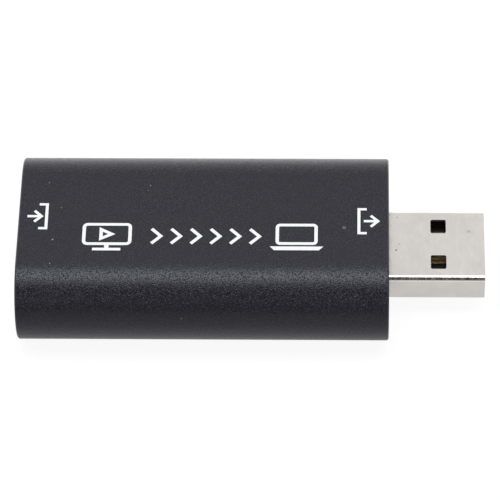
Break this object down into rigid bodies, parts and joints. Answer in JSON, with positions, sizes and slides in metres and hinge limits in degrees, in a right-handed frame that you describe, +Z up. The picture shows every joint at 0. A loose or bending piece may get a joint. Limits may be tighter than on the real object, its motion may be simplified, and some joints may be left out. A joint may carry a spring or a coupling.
{
  "type": "video capture box",
  "caption": "Pocket video capture box: a flat aluminium sleeve with rounded sides, a video socket in one end and a rigid data plug standing out of the other.",
  "frame": {"origin": "middle of the overall box, at the level of the flat underside", "axes": "+X along the box, out of the data plug; +Z up, through the marked face"},
  "size_m": [0.063, 0.028, 0.013],
  "materials": {
    "anodised_aluminium": "blasted and black anodised",
    "plate_plastic": "fine moulded grain",
    "board_laminate": "green solder mask on glass laminate",
    "socket_nickel": "nickel plate on folded steel",
    "plug_nickel": "nickel plate on folded steel",
    "insulator_plastic": "moulded, satin",
    "contact_gold": "thin gold flash",
    "solder_tin": "bright solder",
    "chip_mould": "moulded epoxy",
    "lead_tin": "matt tin plate",
    "crystal_ceramic": "fired, matt",
    "crystal_can": "plated lid",
    "inductor_ferrite": "pressed ferrite",
    "reservoir_resin": "moulded resin",
    "capacitor_ceramic": "fired, satin",
    "resistor_glaze": "glazed film"
  },
  "bodies": {
    "root": {"housing_sleeve": "anodised_aluminium", "input_end_plate": "plate_plastic", "output_end_plate": "plate_plastic", "circuit_board": "board_laminate", "video_socket_shell": "socket_nickel", "data_plug_shell": "plug_nickel", "video_socket_insulator": "insulator_plastic", "data_plug_insulator": "insulator_plastic", "video_socket_upper_contacts": "contact_gold", "video_socket_lower_contacts": "contact_gold", "data_plug_contacts": "contact_gold", "leg_solder": "solder_tin", "capture_chip": "chip_mould", "memory_chip": "chip_mould", "voltage_regulator": "chip_mould", "surge_arrays": "chip_mould", "capture_chip_leads": "lead_tin", "memory_chip_leads": "lead_tin", "voltage_regulator_leads": "lead_tin", "crystal_base": "crystal_ceramic", "crystal_lid": "crystal_can", "power_inductor": "inductor_ferrite", "power_inductor_ends": "lead_tin", "reservoir_capacitor": "reservoir_resin", "reservoir_capacitor_ends": "lead_tin", "chip_capacitors": "capacitor_ceramic", "chip_capacitor_ends": "lead_tin", "chip_resistors": "resistor_glaze", "chip_resistor_ends": "lead_tin"}
  },
  "joints": []
}
